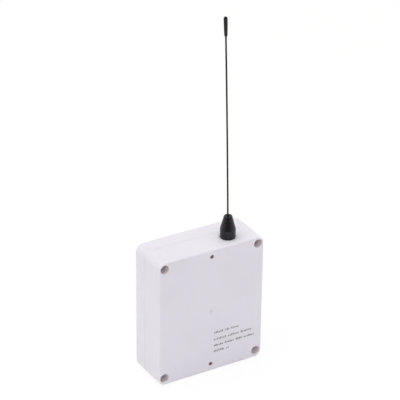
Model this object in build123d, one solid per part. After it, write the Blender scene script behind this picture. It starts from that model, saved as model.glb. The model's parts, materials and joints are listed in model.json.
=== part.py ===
from build123d import *
from math import radians, tan
import os

# Radio receiver: a two-shell plastic case with its circuit board and a screw-on whip antenna.
# Millimetres. +Z is up along the whip, the front faces -Y, the screwed back faces +Y.
# The origin is the middle of the flat bottom that the case stands on.

# Case
case_width = 85.0
case_height = 99.0
case_depth = 33.0
rear_depth = 20.0
wall = 2.5
draft_deg = 1.0
bottom_trim = 0.02
corner_radius = 5.5
edge_round = 1.0
seam_gap = 0.06
lip_height = 1.6
lip_thickness = 1.1
lip_gap = 0.15
boss_draft_deg = 0.5

# Case screws, driven from the back through deep recesses
screw_inset_x = 5.0
screw_inset_z = 5.5
recess_radius = 3.4
recess_depth = 7.5
tower_wall = 1.5
tower_clearance = 0.3
screw_hole_radius = 1.7
screw_head_radius = 2.9
screw_head_height = 2.0
screw_length = 20.0
screw_core_radius = 1.25
screw_tip_length = 2.0
screw_tip_taper_deg = 25.0
head_chamfer = 0.7
driver_slot_width = 0.7
driver_slot_length = 3.2
driver_slot_depth = 1.2
front_boss_radius = 3.6
thread_gap = 0.05
pilot_spare_depth = 1.0

# Bracket holes on the back's centre line
bracket_inset = 5.8
bracket_hole_radius = 1.5
bracket_hole_depth = 8.0
bracket_floor = 1.25
bracket_boss_radius = 3.0
web_thickness = 1.6

# Ribs and gate mark of the rear cover
rib_thickness = 1.2
rib_height = 1.2
rib_from_side = 20.5
rib_from_end = 21.5
gate_radius = 1.1
gate_depth = 0.15
gate_nub_radius = 0.7

# Antenna seat in the top wall
antenna_from_side = 23.5
antenna_from_back = 10.9
seat_pad_radius = 6.5
seat_pad_thickness = 1.2
spotface_gap = 0.4
spotface_depth = 0.1
jack_hole_gap = 0.1

# Conical cap nut at the whip's foot
base_radius = 5.6
base_height = 17.0
base_straight_height = 6.8
base_top_radius = 2.9
base_foot_round = 0.3
base_top_round = 0.7
base_seat_gap = 0.15
base_bore_radius = 1.15
base_bore_lead = 0.45
skirt_radius = 4.85
skirt_depth = 2.4
insert_radius = 4.1
insert_length = 5.3
insert_gap = 0.05

# Whip
whip_height = 166.5
whip_radius = 0.6
whip_lean_deg = 1.4
whip_bow_deg = 0.8
foot_radius = 3.1
foot_height = 2.0
foot_socket_depth = 1.4
foot_gap = 0.3
contact_pin_radius = 0.45
contact_pin_length = 5.5
tip_length = 14.2
tip_radius = 1.36
tip_neck_radius = 0.8
tip_neck_length = 0.7
tip_foot_radius = 1.14
tip_shoulder = 8.5
tip_cover_depth = 12.0
slip_gap = 0.06

# Panel jack
thread_radius = 3.17
thread_above_seat = 7.6
jack_flange_radius = 4.4
jack_flange_height = 2.0
jack_body_radius = 3.0
jack_body_length = 4.0
jack_tail_radius = 1.5
jack_tail_length = 2.5
dielectric_radius = 2.1
dielectric_recess = 1.6
contact_radius = 0.75
contact_bore_gap = 0.05
contact_recess = 0.3
washer_radius = 5.4
washer_thickness = 0.5
nut_across_flats = 8.0
nut_height = 1.8

# Circuit board
board_gap = 2.0
board_thickness = 1.6
post_height = 5.9
post_radius = 3.0
post_inset_x = 7.0
post_inset_z = 11.0
post_rib_length = 5.0
post_rib_drop = 2.0
notch_gap = 0.9
board_screw_core = 0.95
board_screw_hole = 1.4
board_screw_head_radius = 2.2
board_screw_head_height = 1.5
board_screw_length = 6.5
board_head_chamfer = 0.5
board_slot_width = 0.56
board_slot_length = 2.6
board_slot_depth = 0.75

# Power jack at the bottom edge
power_from_side = 22.5
power_width = 9.0
power_height = 11.0
power_length = 14.0
power_inset = 0.5
power_axis_height = 6.5
power_bore_radius = 3.15
power_bore_depth = 9.5
power_pin_radius = 1.0
power_pin_inset = 1.0
power_pin_chamfer = 0.5
power_top_chamfer = 1.5
cutout_gap = 0.3

# Screw terminals at the bottom edge
terminal_from_side = 27.5
terminal_pitch = 5.08
terminal_count = 3
terminal_depth = 8.0
terminal_height = 10.0
terminal_from_wall = 0.7
terminal_slope = 2.5
terminal_entry_width = 2.8
terminal_entry_height = 3.0
terminal_entry_depth = 5.0
terminal_entry_above_board = 1.2
terminal_screw_radius = 1.75
terminal_well_gap = 0.15
terminal_well_depth = 4.5
terminal_screw_height = 2.7
terminal_slot_width = 0.6
terminal_slot_height = 7.0

# Parts on the board's rear side
relay_above_terminals = 8.05
relay_width = 19.0
relay_length = 15.5
relay_height = 15.2
relay_round = 0.8
relay_chamfer = 0.4
chip_from_side = 28.5
chip_above_relay = 10.5
chip_length = 17.9
chip_width = 7.5
chip_height = 2.3
chip_standoff = 0.15
moulded_chamfer = 0.37
leg_count = 10
leg_pitch = 1.27
leg_width = 0.42
leg_thickness = 0.25
leg_reach = 1.4
leg_foot = 0.75
crystal_above_chip = 13.0
crystal_length = 11.0
crystal_width = 4.6
crystal_height = 3.5
crystal_rim = 0.4
regulator_offset_x = -1.0
regulator_above_jack = 12.5
regulator_width = 6.6
regulator_length = 6.1
regulator_height = 2.3
regulator_tab_length = 3.2
regulator_tab_thickness = 0.6
regulator_tab_width = 5.3
regulator_leg_pitch = 4.4
regulator_leg_length = 2.6
capacitor_beside_jack = 13.0
capacitor_above_jack = 9.0
capacitor_spacing = 8.6
capacitor_radius = 4.0
capacitor_height = 11.5
capacitor_groove = 0.3
capacitor_groove_height = 2.0
capacitor_chamfer = 0.4
diode_above_edge = 9.5
diode_length = 4.4
diode_width = 2.6
diode_height = 2.2
diode_tab = 0.9
diode_tab_width = 1.3
chip_part_length = 2.0
chip_part_width = 1.25
chip_part_height = 0.6
chip_part_pitch = 3.4
chip_part_count = 5
module_part_count = 4

# Radio module, on two pin strips above the board
module_from_side = 4.0
module_from_top = 21.5
module_width = 28.0
module_length = 26.0
module_thickness = 1.0
strip_height = 2.5
strip_width = 2.5
strip_inset = 0.6
pin_pitch = 2.54
bottom_pins = 6
top_pins = 3
pin_width = 0.64
pin_above_module = 1.0
pin_hole_radius = 0.55
shield_offset_x = -2.0
shield_offset_z = -2.0
shield_width = 17.0
shield_length = 15.0
shield_height = 3.2
shield_wall = 0.3
shield_round = 0.6

# Coaxial lead from the panel jack to the module
lead_radius = 0.9
lead_plug_offset_x = 9.0
lead_plug_offset_z = -2.0
lead_socket_width = 3.0
lead_socket_height = 0.7
lead_plug_radius = 1.5
lead_plug_height = 1.8
lead_neck_radius = 0.84
lead_neck_length = 3.0
lead_straight = 7.0
lead_bend_share = 0.45

# Lights and pairing button at the front
light_spacing = 12.0
light_from_top = 19.0
led_width = 3.4
led_length = 2.8
led_height = 1.9
pipe_radius = 1.5
pipe_collar_radius = 2.3
pipe_collar_height = 1.0
pipe_led_gap = 0.3
pipe_fit = 0.05
pipe_chamfer = 0.3
sleeve_wall = 1.0
sleeve_height = 1.5
button_from_bottom = 27.0
button_radius = 2.5
button_side_gap = 0.3
button_inset = 0.4
button_flange_radius = 3.6
button_flange_gap = 0.2
button_lead_chamfer = 0.6
button_lead_deg = 45.0
button_chamfer = 0.2
button_dish = 0.3
switch_width = 6.0
switch_height = 3.4
switch_corner = 0.5
plunger_radius = 1.7
plunger_gap = 0.08
plunger_height = 1.8
plunger_travel_room = 0.35
plunger_inset = 0.9
plunger_chamfer = 0.2

# Places that follow from the sizes above
y_rear = case_depth / 2
y_front = -case_depth / 2
y_seam = y_rear - rear_depth
z_middle = case_height / 2
tower_radius = recess_radius + tower_wall
screw_seat_y = y_rear - recess_depth
y_board_front = y_front + wall + post_height
y_board_rear = y_board_front + board_thickness
board_width = case_width - 2 * (wall + board_gap)
board_length = case_height - 2 * (wall + board_gap)
case_side = case_width / 2
board_side = board_width / 2
board_bottom = z_middle - board_length / 2
board_top = z_middle + board_length / 2
antenna_x = antenna_from_side - case_side
antenna_y = y_rear - antenna_from_back
spotface_far_y = antenna_y + base_radius + spotface_gap
z_seat = case_height - (spotface_far_y - y_seam) * tan(radians(draft_deg)) - spotface_depth
z_pad = case_height - wall - seat_pad_thickness
z_thread_top = z_seat + thread_above_seat
z_insert = z_seat + skirt_depth
z_foot = max(z_thread_top, z_insert + insert_length) + foot_gap
z_shoulder = z_foot + foot_height + foot_gap
z_jack_bottom = z_pad - washer_thickness - jack_flange_height - jack_body_length
power_x = power_from_side - case_side
power_bottom = power_inset
power_top = power_bottom + power_length
power_axis_y = y_board_rear + power_axis_height
terminal_x = case_side - terminal_from_side
terminal_bottom = wall + terminal_from_wall
terminal_top = terminal_bottom + terminal_depth
terminal_width = terminal_count * terminal_pitch
relay_x = terminal_x
relay_z = terminal_top + relay_above_terminals + relay_length / 2
chip_x = case_side - chip_from_side
chip_z = relay_z + relay_length / 2 + chip_above_relay + chip_width / 2
crystal_x = chip_x
crystal_z = chip_z + crystal_above_chip
regulator_x = power_x + regulator_offset_x
regulator_z = power_top + regulator_above_jack
capacitor_x = power_x + capacitor_beside_jack
capacitor_z = power_top + capacitor_above_jack
diode_x = capacitor_x
diode_z = board_bottom + diode_above_edge
module_x = module_from_side + module_width / 2 - board_side
module_z = board_top - module_from_top - module_length / 2
shield_x = module_x + shield_offset_x
shield_z = module_z + shield_offset_z
lead_plug_x = module_x + lead_plug_offset_x
lead_plug_z = module_z + lead_plug_offset_z
light_z = case_height - light_from_top
button_x = 0.0
button_z = button_from_bottom
y_module_front = y_board_rear + strip_height
y_module_rear = y_module_front + module_thickness
y_switch_front = y_board_front - switch_height
y_plunger_front = y_switch_front - plunger_inset
y_plunger_rear = y_plunger_front + plunger_height
strip_reach = module_length / 2 - strip_inset - strip_width / 2
strip_spots = [(module_z - strip_reach, bottom_pins), (module_z + strip_reach, top_pins)]
light_spots = [(side * light_spacing / 2, light_z) for side in (-1, 1)]
bracket_spots = [(0, bracket_inset), (0, case_height - bracket_inset)]
corner_spots = [
    (x_side * (case_side - screw_inset_x), z)
    for z in (screw_inset_z, case_height - screw_inset_z)
    for x_side in (-1, 1)
]
post_spots = [
    (x_side * (board_side - post_inset_x), z)
    for z in (board_bottom + post_inset_z, board_top - post_inset_z)
    for x_side in (-1, 1)
]


def along_y(sketch, x, z, y_start, y_end, taper=0.0):
    """Draws a sketch centred on (x, z) out along Y, narrowing by taper degrees."""
    direction = 1 if y_end > y_start else -1
    plane = Plane(origin=(x, y_start, z), x_dir=(1, 0, 0), z_dir=(0, direction, 0))
    return extrude(plane * sketch, amount=abs(y_end - y_start), taper=taper)


def along_z(sketch, x, y, z_start, z_end):
    """Draws a sketch centred on (x, y) out along Z, upwards from z_start to z_end."""
    return extrude(Plane(origin=(x, y, z_start)) * sketch, amount=z_end - z_start)


def block(x_range, y_range, z_range):
    """Box between two limits on each axis."""
    spans = [high - low for low, high in (x_range, y_range, z_range)]
    middle = [(low + high) / 2 for low, high in (x_range, y_range, z_range)]
    return Pos(*middle) * Box(*spans)


def around(middle, width):
    """Limits of a width centred on a place."""
    return (middle - width / 2, middle + width / 2)


def row_places(middle, pitch, count):
    """Evenly spaced places centred on a middle."""
    return [middle + (index - (count - 1) / 2) * pitch for index in range(count)]


def group(solids):
    """Several separate solids in one node."""
    return Compound(children=list(solids))


def turned(points, x, y, z):
    """Solid of revolution about a vertical axis, from (radius, height) points."""
    outline = make_face(Polyline(*[(radius, 0, height) for radius, height in points], close=True))
    return Pos(x, y, z) * revolve(outline, Axis.Z)


def case_outline(y, inset):
    """Outline of the case at a depth y, drawn in by inset. The bottom wall stands square."""
    lean = abs(y - y_seam) * tan(radians(draft_deg))
    width = case_width - 2 * (inset + lean)
    top = case_height - inset - lean
    bottom = inset - bottom_trim
    plane = Plane(origin=(0, y, (top + bottom) / 2), x_dir=(1, 0, 0), z_dir=(0, -1, 0))
    return plane * RectangleRounded(width, top - bottom, corner_radius - inset)


def case_block(y_from, y_to, inset):
    """Drafted block between two depths."""
    return loft([case_outline(y_from, inset), case_outline(y_to, inset)], ruled=True)


def seam_band(inset, y_from, y_to):
    """Straight block of the seam's outline drawn in by inset."""
    band = extrude(case_outline(y_seam, inset), amount=-(y_to - y_from))
    return Pos(0, y_from - y_seam, 0) * band


def bottom_cuts():
    """The flat that the case stands on, and the openings for the power jack and the wires."""
    depth = (-wall, 2 * wall)
    power_y = (y_board_rear - cutout_gap, y_board_rear + power_height + cutout_gap)
    wires_y = (y_board_rear, y_board_rear + terminal_slot_height)
    return [
        block(around(0, 2 * case_width), around(0, 2 * case_depth), (-wall, 0)),
        block(around(power_x, power_width + 2 * cutout_gap), power_y, depth),
        block(around(terminal_x, terminal_width), wires_y, depth),
    ]


def bracket_boss(x, z):
    """Boss round a bracket hole, with a web to the nearest wall."""
    inside = y_rear - wall / 2
    boss_end = y_rear - bracket_hole_depth - bracket_floor
    edge_z = wall / 2 if z < z_middle else case_height - wall
    web_z = (min(z, edge_z), max(z, edge_z))
    return [
        along_y(Circle(bracket_boss_radius), x, z, inside, boss_end, boss_draft_deg),
        block(around(x, web_thickness), (boss_end, inside), web_z),
    ]


def rear_cover():
    outer = case_block(y_seam + seam_gap, y_rear, 0)
    shell = fillet(outer.faces().sort_by(Axis.Y)[-1].edges(), edge_round)
    rebate = seam_band(wall - lip_thickness - lip_gap, y_seam, y_seam + lip_height + lip_gap)
    shell -= [case_block(y_seam, y_rear - wall, wall), rebate]
    inside = y_rear - wall / 2
    added = [along_z(Circle(seat_pad_radius), antenna_x, antenna_y, z_pad, case_height - wall)]
    for x, z in corner_spots:
        tower = along_y(Circle(tower_radius), x, z, inside, y_seam + seam_gap, boss_draft_deg)
        added.append(tower & outer)
    for x, z in bracket_spots:
        added += bracket_boss(x, z)
    for side in (-1, 1):
        rib_y = (y_rear - wall - rib_height, inside)
        rib_x = around(side * (case_side - rib_from_side), rib_thickness)
        added.append(block(rib_x, rib_y, (rib_from_end, case_height - rib_from_end)))
    jack_hole = Circle(thread_radius + jack_hole_gap)
    spotface = Circle(base_radius + spotface_gap)
    gate_ring = Circle(gate_radius) - Circle(gate_nub_radius)
    cuts = bottom_cuts() + [
        along_z(jack_hole, antenna_x, antenna_y, z_pad - wall, case_height),
        along_z(spotface, antenna_x, antenna_y, z_seat, case_height + wall),
        along_y(gate_ring, 0, z_middle, y_rear + wall, y_rear - gate_depth),
    ]
    for x, z in corner_spots:
        cuts.append(along_y(Circle(recess_radius), x, z, y_rear + wall, screw_seat_y))
        cuts.append(along_y(Circle(screw_hole_radius), x, z, y_rear, y_seam - wall))
    for x, z in bracket_spots:
        cuts.append(along_y(Circle(bracket_hole_radius), x, z, y_rear + wall, y_rear - bracket_hole_depth))
    return shell + added - cuts


def seam_lip():
    """Lip that locates the covers, left out where the rear cover's towers stand."""
    lip = seam_band(wall - lip_thickness, y_seam - wall / 2, y_seam + lip_height)
    away = [seam_band(wall, y_seam - wall, y_seam + lip_height + wall)]
    for x, z in corner_spots:
        keep_out = Circle(tower_radius + tower_clearance)
        away.append(along_y(keep_out, x, z, y_seam, y_seam + 2 * lip_height))
    return lip - away


def board_post(x, z):
    """Post under a board screw, stiffened by four ribs."""
    inside = y_front + wall / 2
    rib_y = (inside, y_board_front - post_rib_drop)
    rib_span = 2 * post_rib_length
    return [
        along_y(Circle(post_radius), x, z, inside, y_board_front, boss_draft_deg),
        block(around(x, rib_span), rib_y, around(z, rib_thickness)),
        block(around(x, rib_thickness), rib_y, around(z, rib_span)),
    ]


def front_cover():
    outer = case_block(y_seam, y_front, 0)
    shell = fillet(outer.faces().sort_by(Axis.Y)[0].edges(), edge_round)
    shell -= case_block(y_seam, y_front + wall, wall)
    inside = y_front + wall / 2
    added = [seam_lip()]
    for x, z in corner_spots:
        boss = along_y(Circle(front_boss_radius), x, z, inside, y_seam, boss_draft_deg)
        added.append(boss & outer)
    for x, z in post_spots:
        added += board_post(x, z)
    sleeve = Circle(pipe_radius + pipe_fit + sleeve_wall)
    for x, z in light_spots:
        added.append(along_y(sleeve, x, z, inside, y_front + wall + sleeve_height))
    button_hole = button_radius + button_side_gap
    lead_in = Circle(button_hole + button_lead_chamfer)
    cuts = bottom_cuts() + [
        along_y(Circle(button_hole), button_x, button_z, y_front - wall, y_front + 2 * wall),
        along_y(lead_in, button_x, button_z, y_front, y_front + button_lead_chamfer, button_lead_deg),
    ]
    case_pilot = Circle(screw_core_radius + thread_gap)
    case_pilot_end = screw_seat_y - screw_length - pilot_spare_depth
    for x, z in corner_spots:
        cuts.append(along_y(case_pilot, x, z, y_seam + wall, case_pilot_end))
    board_pilot = Circle(board_screw_core + thread_gap)
    board_pilot_end = y_board_rear - board_screw_length - pilot_spare_depth
    for x, z in post_spots:
        cuts.append(along_y(board_pilot, x, z, y_board_rear, board_pilot_end))
    for x, z in light_spots:
        cuts.append(along_y(Circle(pipe_radius + pipe_fit), x, z, y_front - wall, y_board_front))
    return shell + added - cuts


def case_screw(x, z):
    head = along_y(Circle(screw_head_radius), x, z, screw_seat_y, screw_seat_y + screw_head_height)
    head = chamfer(head.faces().sort_by(Axis.Y)[-1].edges(), head_chamfer)
    tip_start = screw_seat_y - screw_length + screw_tip_length
    core = along_y(Circle(screw_core_radius), x, z, screw_seat_y, tip_start)
    tip_end = screw_seat_y - screw_length
    core += along_y(Circle(screw_core_radius), x, z, tip_start, tip_end, screw_tip_taper_deg)
    slot_y = (screw_seat_y + screw_head_height - driver_slot_depth, screw_seat_y + 2 * screw_head_height)
    cross = block(around(x, driver_slot_length), slot_y, around(z, driver_slot_width))
    cross += block(around(x, driver_slot_width), slot_y, around(z, driver_slot_length))
    return head + core - cross


def case_screws():
    return group(case_screw(x, z) for x, z in corner_spots)


def circuit_board():
    outline = Rectangle(board_width, board_length)
    board = along_y(outline, 0, z_middle, y_board_front, y_board_rear)
    for x, z in corner_spots:
        notch = Circle(front_boss_radius + notch_gap)
        board -= along_y(notch, x, z, y_board_front - wall, y_board_rear + wall)
    for x, z in post_spots:
        board -= along_y(Circle(board_screw_hole), x, z, y_board_front - wall, y_board_rear + wall)
    return board


def board_screw(x, z):
    head_end = y_board_rear + board_screw_head_height
    head = along_y(Circle(board_screw_head_radius), x, z, y_board_rear, head_end)
    head = chamfer(head.faces().sort_by(Axis.Y)[-1].edges(), board_head_chamfer)
    slot_y = (head_end - board_slot_depth, head_end + board_screw_head_height)
    head -= block(around(x, board_slot_length), slot_y, around(z, board_slot_width))
    head -= block(around(x, board_slot_width), slot_y, around(z, board_slot_length))
    return head + along_y(Circle(board_screw_core), x, z, y_board_rear, y_board_rear - board_screw_length)


def board_screws():
    return group(board_screw(x, z) for x, z in post_spots)


def antenna_jack():
    flange_top = z_pad - washer_thickness
    flange_bottom = flange_top - jack_flange_height
    tail_bottom = z_jack_bottom - jack_tail_length
    jack = along_z(Circle(thread_radius), antenna_x, antenna_y, flange_bottom, z_thread_top)
    jack += along_z(Circle(jack_flange_radius), antenna_x, antenna_y, flange_bottom, flange_top)
    jack += along_z(Circle(jack_body_radius), antenna_x, antenna_y, z_jack_bottom, flange_bottom)
    jack += along_z(Circle(jack_tail_radius), antenna_x, antenna_y, tail_bottom, z_jack_bottom)
    bore_bottom = z_jack_bottom + contact_radius
    return jack - along_z(Circle(dielectric_radius), antenna_x, antenna_y, bore_bottom, z_thread_top + wall)


def jack_insulator():
    bottom = z_jack_bottom + contact_radius
    top = z_thread_top - dielectric_recess
    ring = Circle(dielectric_radius) - Circle(contact_radius)
    return along_z(ring, antenna_x, antenna_y, bottom, top)


def jack_contact():
    bottom = z_jack_bottom + contact_radius
    top = z_thread_top - dielectric_recess - contact_recess
    tube = along_z(Circle(contact_radius), antenna_x, antenna_y, bottom, top)
    bore = Circle(contact_pin_radius + contact_bore_gap)
    bore_bottom = z_foot - contact_pin_length - contact_recess
    return tube - along_z(bore, antenna_x, antenna_y, bore_bottom, z_thread_top)


def jack_washer():
    ring = Circle(washer_radius) - Circle(thread_radius + jack_hole_gap)
    return along_z(ring, antenna_x, antenna_y, z_pad - washer_thickness, z_pad)


def jack_nut():
    outline = RegularPolygon(nut_across_flats / 2, 6, major_radius=False)
    outline -= Circle(thread_radius + insert_gap)
    return along_z(outline, antenna_x, antenna_y, z_seat, z_seat + nut_height)


def antenna_base():
    bottom = z_seat + base_seat_gap
    top = z_seat + base_height
    points = [
        (0, bottom),
        (base_radius, bottom),
        (base_radius, z_seat + base_straight_height),
        (base_top_radius, top),
        (0, top),
    ]
    cone = turned(points, 0, 0, 0)
    cone = fillet(cone.edges().sort_by(Axis.Z)[0], base_foot_round)
    cone = fillet(cone.edges().sort_by(Axis.Z)[-1], base_top_round)
    hollow = [
        (0, z_seat - wall),
        (skirt_radius, z_seat - wall),
        (skirt_radius, z_insert),
        (insert_radius, z_insert),
        (insert_radius, z_insert + insert_length),
        (foot_radius + foot_gap, z_insert + insert_length),
        (foot_radius + foot_gap, z_shoulder),
        (base_bore_radius, z_shoulder),
        (base_bore_radius, top - base_bore_lead),
        (base_bore_radius + base_bore_lead, top),
        (base_bore_radius + base_bore_lead, top + wall),
        (0, top + wall),
    ]
    return Pos(antenna_x, antenna_y, 0) * (cone - turned(hollow, 0, 0, 0))


def base_insert():
    ring = Circle(insert_radius) - Circle(thread_radius + insert_gap)
    return along_z(ring, antenna_x, antenna_y, z_insert, z_insert + insert_length)


def whip_foot():
    foot = along_z(Circle(foot_radius), antenna_x, antenna_y, z_foot, z_foot + foot_height)
    foot += along_z(Circle(contact_pin_radius), antenna_x, antenna_y, z_foot - contact_pin_length, z_foot)
    socket_bottom = z_foot + foot_height - foot_socket_depth
    socket = Circle(whip_radius + slip_gap)
    return foot - along_z(socket, antenna_x, antenna_y, socket_bottom, z_foot + 2 * foot_height)


def whip_line():
    """Centre line of the whip: it leans towards +X and bows a little further on the way up."""
    start_z = z_foot + foot_height - foot_socket_depth + slip_gap
    rise = case_height + whip_height - start_z - tip_length + tip_cover_depth
    tangent = (tan(radians(whip_lean_deg)), 1)
    bow_radius = rise / radians(whip_bow_deg)
    start = Plane(origin=(antenna_x, antenna_y, start_z), x_dir=(1, 0, 0), z_dir=(0, -1, 0))
    with BuildLine(start) as line:
        JernArc(start=(0, 0), tangent=tangent, radius=bow_radius, arc_size=-whip_bow_deg)
    return line.edge()


def antenna_rod():
    line = whip_line()
    section = Plane(origin=line @ 0, z_dir=line % 0) * Circle(whip_radius)
    return sweep(section, path=line)


def antenna_tip():
    line = whip_line()
    end = Plane(origin=line @ 1, x_dir=(0, 1, 0), z_dir=line % 1)
    bottom = -tip_cover_depth
    top = bottom + tip_length
    with BuildSketch(Plane.XZ) as outline:
        with BuildLine():
            Polyline(
                (0, top),
                (0, bottom),
                (tip_neck_radius, bottom),
                (tip_foot_radius, bottom + tip_neck_length),
                (tip_radius, bottom + tip_shoulder),
                (tip_radius, top - tip_radius),
            )
            RadiusArc((tip_radius, top - tip_radius), (0, top), -tip_radius)
        make_face()
    cap = revolve(outline.sketch, Axis.Z)
    bore = along_z(Circle(whip_radius + slip_gap), 0, 0, bottom - wall, slip_gap)
    return end * (cap - bore)


def lead_route():
    """Points of the coaxial lead, from the jack's tail to the plug's neck."""
    start = Vector(antenna_x, antenna_y, z_jack_bottom - jack_tail_length)
    plug_y = y_module_rear + lead_socket_height + lead_plug_height / 2
    end = Vector(lead_plug_x, plug_y, lead_plug_z + lead_plug_radius + lead_neck_length)
    down = Vector(0, 0, -lead_straight)
    return [start, start + down, end - down, end]


def bend_radii(points):
    """Largest arcs that the runs of a route allow."""
    radii = []
    for before, corner, after in zip(points, points[1:], points[2:]):
        run_in = corner - before
        run_out = after - corner
        half_turn = radians(run_in.get_angle(run_out) / 2)
        radii.append(lead_bend_share * min(run_in.length, run_out.length) / tan(half_turn))
    return radii


def antenna_lead():
    points = lead_route()
    line = FilletPolyline(*points, radius=bend_radii(points))
    section = Plane(origin=line @ 0, z_dir=line % 0) * Circle(lead_radius)
    return sweep(section, path=line)


def lead_socket():
    socket_y = (y_module_rear, y_module_rear + lead_socket_height)
    return block(around(lead_plug_x, lead_socket_width), socket_y, around(lead_plug_z, lead_socket_width))


def lead_plug():
    base_y = y_module_rear + lead_socket_height
    plug = along_y(Circle(lead_plug_radius), lead_plug_x, lead_plug_z, base_y, base_y + lead_plug_height)
    neck_end = lead_plug_z + lead_plug_radius + lead_neck_length
    neck_y = base_y + lead_plug_height / 2
    return plug + along_z(Circle(lead_neck_radius), lead_plug_x, neck_y, lead_plug_z, neck_end)


def pin_strip(z, count):
    """Pin strip that carries the module: a plastic bar with square pins through the module."""
    bar = block(
        around(module_x, count * pin_pitch), (y_board_rear, y_module_front), around(z, strip_width)
    )
    pins_y = (y_module_front - strip_height / 2, y_module_rear + pin_above_module)
    for x in row_places(module_x, pin_pitch, count):
        bar += block(around(x, pin_width), pins_y, around(z, pin_width))
    return bar


def module_pins():
    return group(pin_strip(z, count) for z, count in strip_spots)


def radio_module():
    board = block(
        around(module_x, module_width), (y_module_front, y_module_rear), around(module_z, module_length)
    )
    for z, count in strip_spots:
        for x in row_places(module_x, pin_pitch, count):
            board -= along_y(Circle(pin_hole_radius), x, z, y_module_front - wall, y_module_rear + wall)
    return board


def module_shield():
    top = y_module_rear + shield_height
    can = block(around(shield_x, shield_width), (y_module_rear, top), around(shield_z, shield_length))
    can = fillet(can.edges().filter_by(Axis.Y), shield_round)
    inner_width = shield_width - 2 * shield_wall
    inner_length = shield_length - 2 * shield_wall
    inner_y = (y_module_rear - wall, top - shield_wall)
    return can - block(around(shield_x, inner_width), inner_y, around(shield_z, inner_length))


def controller_chip():
    bottom = y_board_rear + chip_standoff
    body = block(around(chip_x, chip_length), (bottom, bottom + chip_height), around(chip_z, chip_width))
    return chamfer(body.faces().sort_by(Axis.Y)[-1].edges(), moulded_chamfer)


def controller_leg(x, side):
    """Gull-wing leg from the chip's side down to the board."""
    root_z = chip_z + side * chip_width / 2
    high = y_board_rear + chip_standoff + chip_height / 2
    knee = leg_reach - leg_foot
    profile = [
        (high, 0),
        (high, knee),
        (y_board_rear + leg_thickness, knee),
        (y_board_rear + leg_thickness, leg_reach),
        (y_board_rear, leg_reach),
        (y_board_rear, knee - leg_thickness),
        (high - leg_thickness, knee - leg_thickness),
        (high - leg_thickness, 0),
    ]
    points = [(x - leg_width / 2, y, root_z + side * out) for y, out in profile]
    face = make_face(Polyline(*points, close=True))
    return extrude(face, amount=leg_width, dir=(1, 0, 0))


def controller_legs():
    places = row_places(chip_x, leg_pitch, leg_count)
    return group(controller_leg(x, side) for side in (-1, 1) for x in places)


def crystal():
    rim = SlotOverall(crystal_length, crystal_width)
    can = SlotOverall(crystal_length - 2 * crystal_rim, crystal_width - 2 * crystal_rim)
    rim_end = y_board_rear + crystal_rim
    body = along_y(rim, crystal_x, crystal_z, y_board_rear, rim_end)
    return body + along_y(can, crystal_x, crystal_z, rim_end, y_board_rear + crystal_height)


def voltage_regulator():
    top = y_board_rear + regulator_height
    body_z = around(regulator_z, regulator_length)
    body = block(around(regulator_x, regulator_width), (y_board_rear, top), body_z)
    body = chamfer(body.faces().sort_by(Axis.Y)[-1].edges(), moulded_chamfer)
    tab_y = (y_board_rear, y_board_rear + regulator_tab_thickness)
    tab_z = (regulator_z, body_z[1] + regulator_tab_length)
    body += block(around(regulator_x, regulator_tab_width), tab_y, tab_z)
    for side in (-1, 1):
        leg_x = regulator_x + side * regulator_leg_pitch / 2
        leg_z = (body_z[0] - regulator_leg_length, regulator_z)
        body += block(around(leg_x, 2 * leg_width), tab_y, leg_z)
    return body


def smoothing_capacitor(x, z):
    top = y_board_rear + capacitor_height
    can = along_y(Circle(capacitor_radius), x, z, y_board_rear, top)
    can = chamfer(can.faces().sort_by(Axis.Y)[-1].edges(), capacitor_chamfer)
    groove_y = y_board_rear + capacitor_groove_height
    ring = Circle(capacitor_radius + capacitor_groove) - Circle(capacitor_radius - capacitor_groove)
    return can - along_y(ring, x, z, groove_y, groove_y + 2 * capacitor_groove)


def smoothing_capacitors():
    places = [capacitor_z, capacitor_z + capacitor_spacing]
    return group(smoothing_capacitor(capacitor_x, z) for z in places)


def protection_diode():
    body = block(
        around(diode_x, diode_length),
        (y_board_rear, y_board_rear + diode_height),
        around(diode_z, diode_width),
    )
    body = chamfer(body.faces().sort_by(Axis.Y)[-1].edges(), moulded_chamfer)
    tab_y = (y_board_rear, y_board_rear + leg_thickness)
    tab_x = around(diode_x, diode_length + 2 * diode_tab)
    return body + block(tab_x, tab_y, around(diode_z, diode_tab_width))


def chip_part_row(x, z, count):
    part_y = (y_board_rear, y_board_rear + chip_part_height)
    part_z = around(z, chip_part_length)
    places = row_places(x, chip_part_pitch, count)
    return [block(around(place_x, chip_part_width), part_y, part_z) for place_x in places]


def chip_parts():
    """Rows of small parts beside the chip, the module and the regulator."""
    beside_chip = chip_z - chip_width / 2 - leg_reach - chip_part_length
    above_crystal = crystal_z + crystal_width / 2 + chip_part_length
    below_module = module_z - module_length / 2 - chip_part_length
    rows = chip_part_row(chip_x, beside_chip, chip_part_count)
    rows += chip_part_row(crystal_x, above_crystal, chip_part_count)
    rows += chip_part_row(module_x, below_module, module_part_count)
    return group(rows)


def relay():
    top = y_board_rear + relay_height
    body = block(around(relay_x, relay_width), (y_board_rear, top), around(relay_z, relay_length))
    body = fillet(body.edges().filter_by(Axis.Y), relay_round)
    return chamfer(body.faces().sort_by(Axis.Y)[-1].edges(), relay_chamfer)


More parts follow.
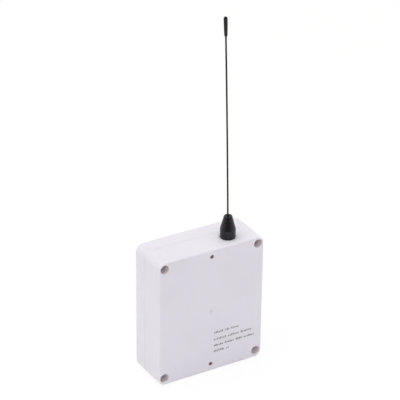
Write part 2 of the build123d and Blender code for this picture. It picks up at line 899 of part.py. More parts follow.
def terminal_block():
    top = y_board_rear + terminal_height
    back = terminal_bottom + terminal_depth
    profile = [
        (y_board_rear, terminal_bottom),
        (top - terminal_slope, terminal_bottom),
        (top, terminal_bottom + terminal_slope / 2),
        (top, back - terminal_slope / 2),
        (top - terminal_slope, back),
        (y_board_rear, back),
    ]
    left = terminal_x - terminal_width / 2
    face = make_face(Polyline(*[(left, y, z) for y, z in profile], close=True))
    body = extrude(face, amount=terminal_width, dir=(1, 0, 0))
    entry_low = y_board_rear + terminal_entry_above_board
    entry_y = (entry_low, entry_low + terminal_entry_height)
    entry_z = (terminal_bottom - wall, terminal_bottom + terminal_entry_depth)
    well = Circle(terminal_screw_radius + terminal_well_gap)
    for x in row_places(terminal_x, terminal_pitch, terminal_count):
        body -= block(around(x, terminal_entry_width), entry_y, entry_z)
        middle = terminal_bottom + terminal_depth / 2
        body -= along_y(well, x, middle, top + wall, top - terminal_well_depth)
    return body


def terminal_screw(x):
    bottom = y_board_rear + terminal_height - terminal_well_depth
    top = bottom + terminal_screw_height
    middle = terminal_bottom + terminal_depth / 2
    screw = along_y(Circle(terminal_screw_radius), x, middle, bottom, top)
    slot_y = (top - terminal_slot_width, top + wall)
    return screw - block(around(x, 2 * terminal_screw_radius), slot_y, around(middle, terminal_slot_width))


def terminal_screws():
    return group(terminal_screw(x) for x in row_places(terminal_x, terminal_pitch, terminal_count))


def power_jack():
    power_y = (y_board_rear, y_board_rear + power_height)
    body = block(around(power_x, power_width), power_y, (power_bottom, power_bottom + power_length))
    top_edges = body.faces().sort_by(Axis.Y)[-1].edges().filter_by(Axis.Z)
    body = chamfer(top_edges, power_top_chamfer)
    bore = Circle(power_bore_radius)
    return body - along_z(bore, power_x, power_axis_y, power_bottom - wall, power_bottom + power_bore_depth)


def power_pin():
    bottom = power_bottom + power_pin_inset
    pin = along_z(Circle(power_pin_radius), power_x, power_axis_y, bottom, power_bottom + power_bore_depth)
    return chamfer(pin.edges().sort_by(Axis.Z)[0], power_pin_chamfer)


def status_leds():
    led_y = (y_board_front - led_height, y_board_front)
    return group(block(around(x, led_width), led_y, around(z, led_length)) for x, z in light_spots)


def light_pipe(x, z):
    collar_front = y_front + wall + sleeve_height
    back = y_board_front - led_height - pipe_led_gap
    pipe = along_y(Circle(pipe_radius), x, z, y_front, back)
    pipe += along_y(Circle(pipe_collar_radius), x, z, collar_front, collar_front + pipe_collar_height)
    return chamfer(pipe.faces().sort_by(Axis.Y)[0].edges(), pipe_chamfer)


def light_pipes():
    return group(light_pipe(x, z) for x, z in light_spots)


def pairing_switch():
    outline = RectangleRounded(switch_width, switch_width, switch_corner)
    body = along_y(outline, button_x, button_z, y_board_front, y_switch_front)
    well = Circle(plunger_radius + plunger_gap)
    well_end = y_plunger_rear + plunger_travel_room
    return body - along_y(well, button_x, button_z, y_switch_front - wall, well_end)


def switch_plunger():
    plunger = along_y(Circle(plunger_radius), button_x, button_z, y_plunger_rear, y_plunger_front)
    return chamfer(plunger.faces().sort_by(Axis.Y)[0].edges(), plunger_chamfer)


def pairing_button():
    face_y = y_front + button_inset
    flange_y = y_front + wall + button_flange_gap
    cap = along_y(Circle(button_radius), button_x, button_z, face_y, y_plunger_front)
    cap = chamfer(cap.faces().sort_by(Axis.Y)[0].edges(), button_chamfer)
    cap += along_y(Circle(button_flange_radius), button_x, button_z, flange_y, y_plunger_front)
    dish_radius = (button_radius**2 / 2 + button_dish**2) / (2 * button_dish)
    dish = Pos(button_x, face_y + button_dish - dish_radius, button_z) * Sphere(dish_radius)
    return cap - dish


PIECES = [
    rear_cover,
    front_cover,
    case_screws,
    circuit_board,
    board_screws,
    antenna_jack,
    jack_insulator,
    jack_contact,
    jack_washer,
    jack_nut,
    antenna_base,
    base_insert,
    whip_foot,
    antenna_rod,
    antenna_tip,
    antenna_lead,
    lead_socket,
    lead_plug,
    radio_module,
    module_pins,
    module_shield,
    controller_chip,
    controller_legs,
    crystal,
    voltage_regulator,
    smoothing_capacitors,
    protection_diode,
    chip_parts,
    relay,
    terminal_block,
    terminal_screws,
    power_jack,
    power_pin,
    status_leds,
    light_pipes,
    pairing_switch,
    switch_plunger,
    pairing_button,
]

os.makedirs("parts", exist_ok=True)
for piece in PIECES:
    export_step(piece(), f"parts/{piece.__name__}.step")
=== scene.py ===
import json
import math
import random

import bmesh
import bpy
from mathutils import Matrix, Vector

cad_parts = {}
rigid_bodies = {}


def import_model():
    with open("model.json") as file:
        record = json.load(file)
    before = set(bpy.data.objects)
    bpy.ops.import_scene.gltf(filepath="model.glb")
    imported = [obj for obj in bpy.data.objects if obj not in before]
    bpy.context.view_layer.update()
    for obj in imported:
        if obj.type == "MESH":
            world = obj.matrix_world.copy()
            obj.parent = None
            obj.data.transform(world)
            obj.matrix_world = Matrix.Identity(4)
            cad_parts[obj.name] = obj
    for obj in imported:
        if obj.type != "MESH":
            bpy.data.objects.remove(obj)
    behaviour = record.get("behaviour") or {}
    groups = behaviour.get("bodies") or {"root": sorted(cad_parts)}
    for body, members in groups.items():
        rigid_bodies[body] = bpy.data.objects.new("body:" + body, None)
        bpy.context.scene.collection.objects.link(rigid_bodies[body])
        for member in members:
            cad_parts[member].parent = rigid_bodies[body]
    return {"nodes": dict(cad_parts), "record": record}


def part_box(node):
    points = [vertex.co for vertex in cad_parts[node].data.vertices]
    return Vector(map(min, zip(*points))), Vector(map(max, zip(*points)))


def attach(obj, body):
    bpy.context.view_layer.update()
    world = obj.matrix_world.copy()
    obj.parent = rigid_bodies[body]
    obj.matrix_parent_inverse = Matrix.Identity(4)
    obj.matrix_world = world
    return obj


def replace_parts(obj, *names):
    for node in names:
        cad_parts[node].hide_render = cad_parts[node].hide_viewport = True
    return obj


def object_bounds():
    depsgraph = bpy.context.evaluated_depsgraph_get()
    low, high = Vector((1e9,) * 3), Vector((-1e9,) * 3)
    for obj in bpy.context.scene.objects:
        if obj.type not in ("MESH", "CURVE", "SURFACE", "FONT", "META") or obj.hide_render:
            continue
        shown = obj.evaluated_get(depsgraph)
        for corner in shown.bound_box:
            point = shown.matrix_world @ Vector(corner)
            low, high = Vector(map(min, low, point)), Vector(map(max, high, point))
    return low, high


# Radio receiver: a white two-shell case with a screw-on whip antenna.
# Metres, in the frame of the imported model: +Z up, the screwed back faces +Y.

MM = 0.001

for leftover in list(bpy.data.objects):
    bpy.data.objects.remove(leftover)
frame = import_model()
nodes = frame["nodes"]
cad_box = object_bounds()

# Camera, fitted to the photograph's 400 x 400 frame
CAMERA_AZIMUTH = 149.156
CAMERA_ELEVATION = 28.034
CAMERA_ROLL = 0.689
CAMERA_DISTANCE = 1.36286
CAMERA_RIGHT = -0.00793
CAMERA_UP = 0.07902
CAMERA_TARGET = Vector((0, 0.0165, 0.04825))
CAMERA_LENS = 175.0
SENSOR_WIDTH = 36.0
CLIP_NEAR = 0.05
CLIP_FAR = 50

# Light
WORLD_LIGHT = 0.83
DARK_SIDE = Vector((0.51, 0.86, 0.03))
DARK_FROM = 0.35
DARK_TO = 0.9
DARK_LEVEL = 0.04
KEY_TINT = (0.98, 0.985, 0.87)
KEY_PLACE = (0.42, 0.0, 1.45)
KEY_AIM = (0, 0, 0.05)
KEY_SIZE = 1.1
KEY_POWER = 6.0

# Floor: its glow and its matt share, which keeps the shadow, add up to white
FLOOR_RADIUS = 5.0
FLOOR_SEGMENTS = 96
FLOOR_GAP = 0.05 * MM
FLOOR_WHITE = 0.9
FLOOR_GLOW = 0.86
FLOOR_LEVEL = 1.02

# Rows of plain printed marks on the back: height and length of each
PRINT_LEFT = -2.6 * MM
PRINT_ROWS = [
    (30.9 * MM, 21.4 * MM),
    (25.3 * MM, 32.0 * MM),
    (20.3 * MM, 36.0 * MM),
    (15.5 * MM, 14.2 * MM),
]
PRINT_PITCH = 1.3 * MM
PRINT_WIDTH = 0.86 * MM
PRINT_HEIGHTS = (1.1 * MM, 1.65 * MM)
PRINT_RELIEF = 0.02 * MM
PRINT_SEED = 7
PRINT_FIRST_GROUP = (4, 8)
PRINT_GROUP = (3, 9)
PRINT_TALL_SHARE = 0.35
PRINT_NARROWEST = 0.7

# Panel jack, with a 1/4 inch thread of 36 turns to the inch
THREAD_RADIUS = 3.17 * MM
THREAD_DEPTH = 0.38 * MM
THREAD_PITCH = 25.4 / 36 * MM
THREAD_STEPS = 10
JACK_BORE = 2.1 * MM
JACK_FLANGE = 4.4 * MM
JACK_BODY = 3.0 * MM
JACK_TAIL = 1.5 * MM
JACK_TAIL_LENGTH = 2.5 * MM
JACK_BODY_LENGTH = 4.0 * MM
JACK_FLANGE_HEIGHT = 2.0 * MM
JACK_AXIS_GAP = 0.2 * MM
JACK_SEGMENTS = 64

# Screw recesses in the rear shell, and how deep the painted light inside them and the painted shade inside
# the bracket holes reach
SCREW_HEAD_RADIUS = 2.9 * MM
RECESS_RADIUS = 3.4 * MM
SUNK_DEPTH = 9.0 * MM
SUNK_FADE = 0.5 * MM

# Bracket holes on the back's centre line, with shade painted inside them
BRACKET_SPACING = 87.4 * MM
BRACKET_HOLE_RADIUS = 1.5 * MM

# Marks, painted shade and painted light on the white shells, each fading between two distances
BACK_SKIN = (0.1 * MM, 0.5 * MM)
BORE_EDGE = (0.05 * MM, 0.2 * MM)
GATE_RING_INNER = (0.55 * MM, 0.75 * MM)
GATE_RING_OUTER = (1.15 * MM, 1.35 * MM)
GATE_BLUSH = (2.0 * MM, 7.0 * MM)
SEAM_EDGE = (0.12 * MM, 0.32 * MM)
SEAM_BELOW_TOP = (5 * MM, 1 * MM)
FOOT_EDGE = (0.6 * MM, 3.0 * MM)

# Sockets of the Mix node for colours, and the factor built into the Wave texture
MIX_UNDER = 6
MIX_OVER = 7
MIX_RESULT = 2
WAVE_FACTOR = 20

# Edges flatter than this many degrees are shaded smooth
SMOOTH_ANGLE = 35.0


class Surface:
    """A node material under construction, with its textures in the object's own metres."""

    def __init__(self, name):
        self.material = bpy.data.materials.new(name)
        self.material.use_nodes = True
        self.tree = self.material.node_tree
        self.shader = self.tree.nodes["Principled BSDF"]
        self.place = self.add("ShaderNodeTexCoord").outputs["Object"]
        self.normal = None

    def add(self, kind, **settings):
        node = self.tree.nodes.new(kind)
        for key, value in settings.items():
            setattr(node, key, value)
        return node

    def link(self, output, socket):
        self.tree.links.new(output, socket)

    def noise(self, size, detail, stretch=(1, 1, 1)):
        """Noise whose features are about size metres across, stretched along an axis."""
        mapping = self.add("ShaderNodeMapping")
        self.link(self.place, mapping.inputs["Vector"])
        mapping.inputs["Scale"].default_value = [1 / (size * share) for share in stretch]
        texture = self.add("ShaderNodeTexNoise")
        self.link(mapping.outputs["Vector"], texture.inputs["Vector"])
        texture.inputs["Scale"].default_value = 1.0
        texture.inputs["Detail"].default_value = detail
        return texture.outputs["Fac"]

    def rings(self, pitch, axis, wobble):
        """Lines across an axis at a pitch, as turning or drawing leaves them."""
        texture = self.add("ShaderNodeTexWave", wave_type="BANDS", bands_direction=axis)
        self.link(self.place, texture.inputs["Vector"])
        texture.inputs["Scale"].default_value = math.tau / WAVE_FACTOR / pitch
        texture.inputs["Distortion"].default_value = wobble
        return texture.outputs["Fac"]

    def cells(self, size):
        """Distance to the borders of cells about size metres across, as a share of the size."""
        texture = self.add("ShaderNodeTexVoronoi", feature="DISTANCE_TO_EDGE")
        self.link(self.place, texture.inputs["Vector"])
        texture.inputs["Scale"].default_value = 1 / size
        return texture.outputs["Distance"]

    def ramp(self, value, low, high, to_low=0.0, to_high=1.0):
        """Value taken smoothly from one range to another."""
        node = self.add("ShaderNodeMapRange", interpolation_type="SMOOTHSTEP")
        self.link(value, node.inputs["Value"])
        limits = {"From Min": low, "From Max": high, "To Min": to_low, "To Max": to_high}
        for name, number in limits.items():
            node.inputs[name].default_value = number
        return node.outputs["Result"]

    def within(self, distance, radius):
        """One up to a radius, fading to zero just past it."""
        near, far = BORE_EDGE
        return self.ramp(distance, radius + near, radius + far, 1.0, 0.0)

    def times(self, first, second):
        """Product of two values, each a socket or a number."""
        node = self.add("ShaderNodeMath", operation="MULTIPLY")
        for value, socket in zip((first, second), node.inputs):
            if isinstance(value, float):
                socket.default_value = value
            else:
                self.link(value, socket)
        return node.outputs["Value"]

    def vector(self, operation, value, other=None):
        """One step of vector arithmetic."""
        node = self.add("ShaderNodeVectorMath", operation=operation)
        self.link(value, node.inputs[0])
        if other is not None:
            node.inputs[1].default_value = other
        return node.outputs["Vector"]

    def length(self, value, axes):
        """Length of a vector, counted along some axes only."""
        node = self.add("ShaderNodeVectorMath", operation="LENGTH")
        self.link(self.vector("MULTIPLY", value, axes), node.inputs[0])
        return node.outputs["Value"]

    def distance_to(self, point, axes=(1, 1, 1)):
        """Distance to a point, counted along some axes only."""
        return self.length(self.vector("SUBTRACT", self.place, point), axes)

    def corner_distance(self, middle, reach):
        """Distance from the nearest of four axes along Y, at plus and minus reach from a middle."""
        offset = self.vector("ABSOLUTE", self.vector("SUBTRACT", self.place, middle))
        return self.length(self.vector("SUBTRACT", offset, reach), (1, 0, 1))

    def height(self):
        """Height, the Z of the frame."""
        parts = self.add("ShaderNodeSeparateXYZ")
        self.link(self.place, parts.inputs["Vector"])
        return parts.outputs["Z"]

    def colour(self, base, *layers):
        """Base colour, then (mask, colour) layers over it."""
        node = self.add("ShaderNodeRGB")
        node.outputs["Color"].default_value = (*base, 1)
        result = node.outputs["Color"]
        for mask, rgb in layers:
            node = self.add("ShaderNodeMix", data_type="RGBA")
            self.link(mask, node.inputs["Factor"])
            self.link(result, node.inputs[MIX_UNDER])
            node.inputs[MIX_OVER].default_value = (*rgb, 1)
            result = node.outputs[MIX_RESULT]
        self.link(result, self.shader.inputs["Base Color"])

    def roughness(self, value):
        self.link(value, self.shader.inputs["Roughness"])

    def bump(self, value, distance, strength):
        """Adds relief on top of any relief before it."""
        node = self.add("ShaderNodeBump")
        self.link(value, node.inputs["Height"])
        node.inputs["Strength"].default_value = strength
        node.inputs["Distance"].default_value = distance
        if self.normal is not None:
            self.link(self.normal, node.inputs["Normal"])
        self.normal = node.outputs["Normal"]
        self.link(self.normal, self.shader.inputs["Normal"])

    def set(self, **values):
        """Sets the shader's inputs by name, with _ for a space, and gives the material."""
        for name, value in values.items():
            self.shader.inputs[name.replace("_", " ")].default_value = value
        return self.material


def shade(rgb, share):
    """Colour made darker or lighter by a share."""
    return tuple(channel * share for channel in rgb)


def sunk_light_and_shade(skin, gate):
    """Masks of painted warm light inside the screw recesses and of painted shade inside the bracket holes.
    """
    screw_low, screw_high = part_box("case_screws")
    head = Vector((SCREW_HEAD_RADIUS, 0, SCREW_HEAD_RADIUS))
    middle = (screw_low + screw_high) / 2
    from_screw = skin.corner_distance(middle, (screw_high - screw_low) / 2 - head)
    from_hole = skin.corner_distance(gate, (0, 0, BRACKET_SPACING / 2))
    from_back = skin.distance_to(gate, (0, 1, 0))
    below_face = skin.ramp(from_back, *BACK_SKIN)
    sunk = skin.times(below_face, skin.ramp(from_back, SUNK_DEPTH, SUNK_DEPTH + SUNK_FADE, 1.0, 0.0))
    # Painted warm light on the walls inside the screw recesses
    recess_painted_light = skin.times(sunk, skin.within(from_screw, RECESS_RADIUS))
    # Painted shade inside the bracket holes
    hole_painted_shade = skin.times(sunk, skin.within(from_hole, BRACKET_HOLE_RADIUS))
    return recess_painted_light, hole_painted_shade


def gate_marks(skin, gate):
    """Masks of the gate's ring and of the blush round it."""
    from_gate = skin.distance_to(gate)
    ring_inside = skin.ramp(from_gate, *GATE_RING_INNER)
    ring = skin.times(ring_inside, skin.ramp(from_gate, *GATE_RING_OUTER, 1.0, 0.0))
    blush = skin.ramp(from_gate, *GATE_BLUSH, 0.12, 0.0)
    return ring, blush


def seam_shade_and_light(skin, seam_y, top):
    """Masks of painted shade along the seam gap, below the top wall, and of painted light along the seam on
    the top wall.
    """
    from_seam = skin.distance_to(Vector((0, seam_y, 0)), (0, 1, 0))
    seam = skin.ramp(from_seam, *SEAM_EDGE, 1.0, 0.0)
    patchy = skin.times(seam, skin.ramp(skin.noise(14 * MM, 2.0), 0.4, 0.6, 0.3, 1.0))
    top_from, top_to = (top - drop for drop in SEAM_BELOW_TOP)
    # Painted shade along the seam gap, in patches, below the top wall
    seam_painted_shade = skin.times(patchy, skin.ramp(skin.height(), top_from, top_to, 1.0, 0.0))
    # Painted light along the seam on the top wall, evening out the gap's shade
    seam_painted_light = skin.times(seam, skin.ramp(skin.height(), top_from, top_to))
    return seam_painted_shade, seam_painted_light


def case_plastic():
    """Fine-textured white moulding: gate mark, painted shade and painted light along the seam, painted warm
    light in the screw recesses, painted shade in the bracket holes, scuffs at the foot.
    """
    skin = Surface("shell_white")
    white = (0.791, 0.766, 0.840)
    low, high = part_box("rear_cover")
    gate = Vector((0, high.y, (low.z + high.z) / 2))
    recess_painted_light, hole_painted_shade = sunk_light_and_shade(skin, gate)
    ring, blush = gate_marks(skin, gate)
    seam_painted_shade, seam_painted_light = seam_shade_and_light(skin, low.y, high.z)
    cloud = skin.ramp(skin.noise(38 * MM, 2.0), 0.35, 0.7)
    foot = skin.ramp(skin.height(), *FOOT_EDGE, 0.6, 0.0)
    scuffs = skin.times(foot, skin.ramp(skin.noise(1.6 * MM, 5.0, (3, 3, 1)), 0.52, 0.66))
    skin.colour(
        white,
        (cloud, shade(white, 0.975)),
        (blush, shade(white, 0.94)),
        (scuffs, (0.62, 0.60, 0.62)),
        (ring, shade(white, 0.82)),
        # painted shade along the seam gap
        (seam_painted_shade, shade(white, 0.88)),
        # painted light along the seam on the top wall
        (seam_painted_light, shade(white, 1.10)),
        # painted warm light inside the screw recesses
        (recess_painted_light, (0.865, 0.795, 0.82)),
        # painted shade inside the bracket holes
        (hole_painted_shade, (0.60, 0.48, 0.50)),
    )
    skin.roughness(skin.ramp(skin.noise(0.9 * MM, 4.0), 0.3, 0.7, 0.42, 0.54))
    skin.bump(skin.noise(46 * MM, 1.0), 0.25 * MM, 0.25)
    skin.bump(skin.noise(0.24 * MM, 3.0), 0.012 * MM, 0.5)
    return skin.set(
        IOR=1.46,
        Specular_IOR_Level=0.3,
        Subsurface_Weight=0.8,
        Subsurface_Scale=1.2 * MM,
        Subsurface_Radius=(1.0, 0.82, 0.86),
    )


def moulded(name, rgb, roughness, grain, depth=0.01, flow=0.93, spots=0.0, level=0.5):
    """Moulded plastic: faint flow clouds, grain of a size and depth in mm, and rubbed spots where asked."""
    skin = Surface(name)
    layers = [(skin.ramp(skin.noise(6 * MM, 3.0), 0.35, 0.7), shade(rgb, flow))]
    if spots:
        rubbed = skin.ramp(skin.noise(0.8 * MM, 6.0), 0.62, 0.74, 0.0, spots)
        layers.append((rubbed, tuple(channel + 0.05 for channel in rgb)))
    skin.colour(rgb, *layers)
    skin.roughness(skin.ramp(skin.noise(1.1 * MM, 4.0), 0.3, 0.7, roughness - 0.06, roughness + 0.08))
    skin.bump(skin.noise(grain * MM, 3.0), depth * MM, 0.5)
    return skin.set(IOR=1.45, Specular_IOR_Level=level)


def turned_metal(name, rgb, roughness, pitch=0.09, axis="Z", dull=0.82):
    """Turned or drawn metal: lines at a pitch in mm across its axis and a dulled, clouded finish."""
    skin = Surface(name)
    lines = skin.rings(pitch * MM, axis, 1.5)
    cloud = skin.ramp(skin.noise(1.7 * MM, 4.0), 0.4, 0.7)
    skin.colour(rgb, (cloud, shade(rgb, dull)))
    skin.roughness(skin.ramp(skin.noise(0.5 * MM, 5.0), 0.3, 0.75, roughness - 0.06, roughness + 0.12))
    skin.bump(lines, 0.004 * MM, 0.6)
    return skin.set(Metallic=1.0)


def coated_rod():
    """Black-coated spring wire, drawn lengthways and rubbed brown in places."""
    skin = Surface("whip_black")
    black = (0.040, 0.028, 0.024)
    drawn = skin.noise(0.12 * MM, 3.0, (1, 1, 60))
    rubbed = skin.ramp(skin.noise(2.2 * MM, 5.0, (1, 1, 4)), 0.55, 0.72, 0.0, 0.75)
    streaks = skin.ramp(drawn, 0.4, 0.7)
    skin.colour(black, (streaks, (0.036, 0.025, 0.022)), (rubbed, (0.052, 0.034, 0.028)))
    skin.roughness(skin.ramp(drawn, 0.3, 0.7, 0.4, 0.55))
    skin.bump(drawn, 0.003 * MM, 0.4)
    return skin.set(IOR=1.4, Specular_IOR_Level=0.04)


def board_mask():
    """Green solder mask with tracks under it and a woven base."""
    skin = Surface("board_green")
    green = (0.018, 0.165, 0.06)
    tracks = skin.ramp(skin.cells(3.2 * MM), 0.03, 0.07, 1.0, 0.0)
    weave = skin.rings(0.5 * MM, "X", 0.6)
    skin.colour(green, (skin.times(weave, 0.35), shade(green, 0.75)), (tracks, (0.045, 0.26, 0.10)))
    skin.roughness(skin.ramp(skin.noise(1.2 * MM, 3.0), 0.3, 0.7, 0.24, 0.36))
    skin.bump(tracks, 0.035 * MM, 0.8)
    return skin.set(IOR=1.5)


def fired_ceramic():
    """Bare tan ceramic, mottled and faintly rough."""
    skin = Surface("ceramic_tan")
    tan = (0.50, 0.37, 0.25)
    skin.colour(tan, (skin.ramp(skin.noise(0.3 * MM, 5.0), 0.4, 0.65), shade(tan, 0.7)))
    skin.roughness(skin.ramp(skin.noise(0.2 * MM, 3.0), 0.3, 0.7, 0.5, 0.7))
    skin.bump(skin.noise(0.1 * MM, 3.0), 0.006 * MM, 0.6)
    return skin.set(IOR=1.5)


def clear_moulding():
    """Clear light pipe with faint flow and a rubbed end."""
    skin = Surface("clear_acrylic")
    clear = (0.90, 0.93, 0.95)
    skin.colour(clear, (skin.ramp(skin.noise(1.5 * MM, 3.0), 0.4, 0.7), shade(clear, 0.93)))
    skin.roughness(skin.ramp(skin.noise(0.4 * MM, 5.0), 0.35, 0.75, 0.04, 0.22))
    skin.bump(skin.noise(1.0 * MM, 2.0), 0.01 * MM, 0.4)
    return skin.set(IOR=1.49, Transmission_Weight=0.85)


def print_ink():
    """Thin grey-mauve print, worn through in specks."""
    skin = Surface("print_ink")
    ink = (0.20, 0.155, 0.17)
    specks = skin.ramp(skin.noise(0.16 * MM, 4.0), 0.5, 0.68)
    skin.colour(ink, (specks, (0.40, 0.34, 0.37)))
    skin.roughness(skin.ramp(skin.noise(0.3 * MM, 3.0), 0.3, 0.7, 0.5, 0.7))
    skin.bump(specks, 0.004 * MM, 0.5)
    return skin.set(IOR=1.45)


def dressed_surfaces():
    """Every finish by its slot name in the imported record."""
    return {
        "shell_white": case_plastic(),
        "cap_black": moulded(
            "cap_black", (0.0052, 0.0046, 0.009), 0.2, grain=0.3, depth=0.002, flow=0.8, level=0.43
        ),
        "tip_black": moulded(
            "tip_black", (0.021, 0.016, 0.0155), 0.4, grain=0.25, depth=0.006, flow=0.8,
            spots=0.3, level=0.25,
        ),
        "moulded_black": moulded("moulded_black", (0.018, 0.018, 0.020), 0.5, grain=0.18, flow=0.85),
        "button_grey": moulded("button_grey", (0.30, 0.30, 0.32), 0.48, grain=0.22, spots=0.2),
        "terminal_green": moulded("terminal_green", (0.03, 0.24, 0.085), 0.42, grain=0.25, flow=0.88),
        "relay_blue": moulded("relay_blue", (0.02, 0.10, 0.42), 0.3, grain=0.4, depth=0.006, flow=0.9),
        "capacitor_sleeve": moulded("capacitor_sleeve", (0.015, 0.02, 0.06), 0.28, grain=0.8, flow=0.8),
        "lead_jacket": moulded("lead_jacket", (0.24, 0.10, 0.045), 0.25, grain=0.5, depth=0.005, flow=0.8),
        "ptfe": moulded("ptfe", (0.80, 0.80, 0.78), 0.55, grain=0.3, depth=0.008, flow=0.95),
        "led_white": moulded("led_white", (0.80, 0.78, 0.62), 0.35, grain=0.3, depth=0.005),
        "whip_black": coated_rod(),
        "brass": turned_metal("brass", (0.78, 0.57, 0.28), 0.28),
        "gold_plate": turned_metal("gold_plate", (0.90, 0.67, 0.31), 0.2, pitch=0.12),
        "nickel": turned_metal("nickel", (0.68, 0.66, 0.61), 0.22, pitch=0.15),
        "zinc_steel": turned_metal("zinc_steel", (0.74, 0.68, 0.64), 0.42, pitch=0.2, axis="Y", dull=0.85),
        "tin": turned_metal("tin", (0.66, 0.66, 0.65), 0.32, pitch=0.1, axis="X"),
        "board_green": board_mask(),
        "ceramic_tan": fired_ceramic(),
        "clear_acrylic": clear_moulding(),
    }


def piece(name, shape, material, body):
    """Mesh object from a bmesh, smooth up to an edge angle, riding on a body."""
    bmesh.ops.recalc_face_normals(shape, faces=shape.faces)
    limit = math.radians(SMOOTH_ANGLE)
    for face in shape.faces:
        face.smooth = True
    for edge in shape.edges:
        edge.smooth = len(edge.link_faces) == 2 and edge.calc_face_angle() < limit
    mesh = bpy.data.meshes.new(name)
    shape.to_mesh(mesh)
    shape.free()
    mesh.materials.append(material)
    made = bpy.data.objects.new(name, mesh)
    bpy.context.scene.collection.objects.link(made)
    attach(made, body)
    return made


def grid_faces(shape, rows):
    """Joins rows of equal rings of points into quads, closed round and end to end."""
    rings = [[shape.verts.new(point) for point in row] for row in rows]
    count = len(rings[0])
    for here, there in zip(rings, rings[1:] + rings[:1]):
        for index in range(count):
            after = (index + 1) % count
            shape.faces.new((here[index], here[after], there[after], there[index]))


def panel_jack(material):
    """Panel jack with its cut thread, turned about the whip's axis."""
    low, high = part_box("antenna_jack")
    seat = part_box("jack_nut")[0].z
    axis_x, axis_y = (low.x + high.x) / 2, (low.y + high.y) / 2
    body_low = low.z + JACK_TAIL_LENGTH
    flange_low = body_low + JACK_BODY_LENGTH
    flange_high = flange_low + JACK_FLANGE_HEIGHT
    bore_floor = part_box("jack_insulator")[0].z
    plain = [
        (JACK_AXIS_GAP, low.z),
        (JACK_TAIL, low.z),
        (JACK_TAIL, body_low),
        (JACK_BODY, body_low),
        (JACK_BODY, flange_low),
        (JACK_FLANGE, flange_low),
        (JACK_FLANGE, flange_high),
        (THREAD_RADIUS - THREAD_DEPTH, flange_high),
    ]
    step = THREAD_PITCH / THREAD_STEPS
    count = int((high.z - seat) / step)
    thread = [(THREAD_RADIUS, seat + index * step) for index in range(count)]
    end = [
        (THREAD_RADIUS - THREAD_DEPTH, high.z),
        (JACK_BORE, high.z),
        (JACK_BORE, bore_floor),
        (JACK_AXIS_GAP, bore_floor),
    ]
    rows = []
    for group, cut in ((plain, False), (thread, True), (end, False)):
        for radius, height in group:
            row = []
            for index in range(JACK_SEGMENTS):
                turn = index / JACK_SEGMENTS
                phase = (height / THREAD_PITCH - turn) % 1
                depth = THREAD_DEPTH * abs(2 * phase - 1) if cut else 0
                angle = math.tau * turn
                reach = radius - depth
                row.append((axis_x + reach * math.cos(angle), axis_y + reach * math.sin(angle), height))
            rows.append(row)
    shape = bmesh.new()
    grid_faces(shape, rows)
    jack = piece("panel_jack_threaded", shape, material, "case")
    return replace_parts(jack, "antenna_jack")


def box_mesh(shape, low, high):
    """Adds a box between two corners to a shape."""
    made = bmesh.ops.create_cube(shape, size=1.0)["verts"]
    span = [top - bottom for bottom, top in zip(low, high)]
    middle = [(top + bottom) / 2 for bottom, top in zip(low, high)]
    bmesh.ops.transform(shape, matrix=Matrix.Translation(middle) @ Matrix.Diagonal((*span, 1)), verts=made)


def print_rows(material):
    """Rows of small plain marks on the back, in groups of uneven length."""
    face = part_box("rear_cover")[1].y
    chance = random.Random(PRINT_SEED)
    shape = bmesh.new()
    for baseline, length in PRINT_ROWS:
        places = int(length / PRINT_PITCH)
        group_end = chance.randint(*PRINT_FIRST_GROUP)
        for place in range(places):
            if place == group_end:
                group_end = place + 1 + chance.randint(*PRINT_GROUP)
                continue
            left = PRINT_LEFT - place * PRINT_PITCH
            tall = PRINT_HEIGHTS[1] if chance.random() < PRINT_TALL_SHARE else PRINT_HEIGHTS[0]
            width = PRINT_WIDTH * chance.uniform(PRINT_NARROWEST, 1.0)
            low = (left - width, face, baseline - PRINT_HEIGHTS[1] / 2)
            high = (left, face + PRINT_RELIEF, baseline - PRINT_HEIGHTS[1] / 2 + tall)
            box_mesh(shape, low, high)
    return piece("back_print_rows", shape, material, "case")


def camera():
    """Camera at the photograph's viewing angle."""
    angles = (CAMERA_AZIMUTH, CAMERA_ELEVATION, CAMERA_ROLL)
    azimuth, elevation, roll = (math.radians(angle) for angle in angles)
    back = Vector(
        (
            math.sin(azimuth) * math.cos(elevation),
            -math.cos(azimuth) * math.cos(elevation),
            math.sin(elevation),
        )
    )
    right = Vector((0, 0, 1)).cross(back).normalized()
    up = back.cross(right)
    right, up = (
        right * math.cos(roll) + up * math.sin(roll),
        up * math.cos(roll) - right * math.sin(roll),
    )
    place = CAMERA_TARGET + back * CAMERA_DISTANCE + right * CAMERA_RIGHT + up * CAMERA_UP
    data = bpy.data.cameras.new("photo_camera")
    data.lens = CAMERA_LENS
    data.sensor_width = SENSOR_WIDTH
    data.clip_start = CLIP_NEAR
    data.clip_end = CLIP_FAR
    made = bpy.data.objects.new("photo_camera", data)
    bpy.context.scene.collection.objects.link(made)
    made.matrix_world = Matrix((right, up, back)).transposed().to_4x4()
    made.location = place
    bpy.context.scene.camera = made


def ray_share(tree, *kinds):
    """One for rays of the given kinds and zero for the rest."""
    path = tree.nodes.new("ShaderNodeLightPath")
    result = path.outputs[kinds[0]]
    for kind in kinds[1:]:
        node = tree.nodes.new("ShaderNodeMath")
        node.operation = "MAXIMUM"
        tree.links.new(result, node.inputs[0])
        tree.links.new(path.outputs[kind], node.inputs[1])
        result = node.outputs["Value"]
    return result


def mixed(tree, share, below, above):
    """Shader mixed from two, by the share of the one above."""
    node = tree.nodes.new("ShaderNodeMixShader")
    tree.links.new(share, node.inputs["Fac"])
    tree.links.new(below, node.inputs[1])
    tree.links.new(above, node.inputs[2])
    return node.outputs["Shader"]


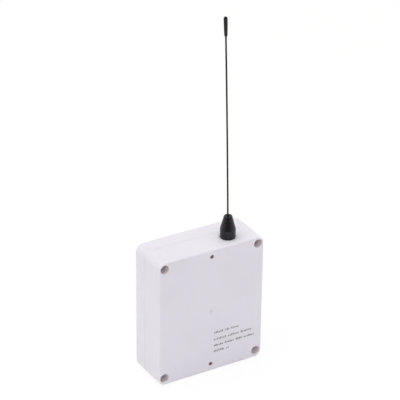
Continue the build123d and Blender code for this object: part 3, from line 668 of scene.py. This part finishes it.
def dim_wall(tree):
    """Level of the surroundings by direction: one, but dim towards the dark side."""
    heading = tree.nodes.new("ShaderNodeTexCoord")
    towards = tree.nodes.new("ShaderNodeVectorMath")
    towards.operation = "DOT_PRODUCT"
    tree.links.new(heading.outputs["Generated"], towards.inputs[0])
    towards.inputs[1].default_value = DARK_SIDE.normalized()
    wall = tree.nodes.new("ShaderNodeMapRange")
    wall.interpolation_type = "SMOOTHSTEP"
    tree.links.new(towards.outputs["Value"], wall.inputs["Value"])
    wall.inputs["From Min"].default_value = DARK_FROM
    wall.inputs["From Max"].default_value = DARK_TO
    wall.inputs["To Min"].default_value = 1.0
    wall.inputs["To Max"].default_value = DARK_LEVEL
    return wall.outputs["Result"]


def background(tree, level):
    """White background at a level, which is a socket or a number."""
    node = tree.nodes.new("ShaderNodeBackground")
    node.inputs["Color"].default_value = (1, 1, 1, 1)
    if isinstance(level, float):
        node.inputs["Strength"].default_value = level
    else:
        tree.links.new(level, node.inputs["Strength"])
    return node.outputs["Background"]


def world():
    """White surroundings as seen, a dim wall on one side in reflections, and a soft level as light."""
    made = bpy.data.worlds.new("studio")
    bpy.context.scene.world = made
    made.use_nodes = True
    tree = made.node_tree
    tree.nodes.clear()
    light = background(tree, WORLD_LIGHT)
    mirrored = background(tree, dim_wall(tree))
    seen = background(tree, 1.0)
    lit = mixed(tree, ray_share(tree, "Is Glossy Ray"), light, mirrored)
    all_rays = mixed(tree, ray_share(tree, "Is Camera Ray", "Is Transmission Ray"), lit, seen)
    output = tree.nodes.new("ShaderNodeOutputWorld")
    tree.links.new(all_rays, output.inputs["Surface"])


def floor():
    """Pale floor that reads as white and keeps a soft shadow."""
    material = bpy.data.materials.new("floor_white")
    material.use_nodes = True
    tree = material.node_tree
    tree.nodes.clear()
    matt = tree.nodes.new("ShaderNodeBsdfDiffuse")
    matt.inputs["Color"].default_value = (FLOOR_WHITE, FLOOR_WHITE, FLOOR_WHITE, 1)
    glow = tree.nodes.new("ShaderNodeEmission")
    glow.inputs["Color"].default_value = (1, 1, 1, 1)
    glow.inputs["Strength"].default_value = FLOOR_LEVEL
    share = tree.nodes.new("ShaderNodeMath")
    share.operation = "MULTIPLY"
    seen = ray_share(tree, "Is Camera Ray", "Is Glossy Ray", "Is Transmission Ray")
    tree.links.new(seen, share.inputs[0])
    share.inputs[1].default_value = FLOOR_GLOW
    output = tree.nodes.new("ShaderNodeOutputMaterial")
    surface = mixed(tree, share.outputs["Value"], matt.outputs["BSDF"], glow.outputs["Emission"])
    tree.links.new(surface, output.inputs["Surface"])
    shape = bmesh.new()
    bmesh.ops.create_circle(shape, cap_ends=True, radius=FLOOR_RADIUS, segments=FLOOR_SEGMENTS)
    mesh = bpy.data.meshes.new("studio_floor")
    shape.to_mesh(mesh)
    shape.free()
    mesh.materials.append(material)
    made = bpy.data.objects.new("studio_floor", mesh)
    made.location.z = cad_box[0].z - FLOOR_GAP
    bpy.context.scene.collection.objects.link(made)


def lamp(name, place, aim, size, power, tint):
    """Round soft lamp aimed at a point."""
    data = bpy.data.lights.new(name, "AREA")
    data.shape = "DISK"
    data.size = size
    data.energy = power
    data.color = tint
    made = bpy.data.objects.new(name, data)
    made.location = place
    made.rotation_mode = "QUATERNION"
    made.rotation_quaternion = (Vector(aim) - Vector(place)).to_track_quat("-Z", "Y")
    bpy.context.scene.collection.objects.link(made)


surfaces = dressed_surfaces()
for row in frame["record"]["subparts"]:
    for holder in nodes[row["node"]].material_slots:
        holder.material = surfaces[row["material_slot"]]

panel_jack(surfaces["gold_plate"])
print_rows(print_ink())

camera()
world()
floor()
lamp("key", KEY_PLACE, KEY_AIM, KEY_SIZE, KEY_POWER, KEY_TINT)
bpy.context.scene.view_settings.view_transform = "Standard"
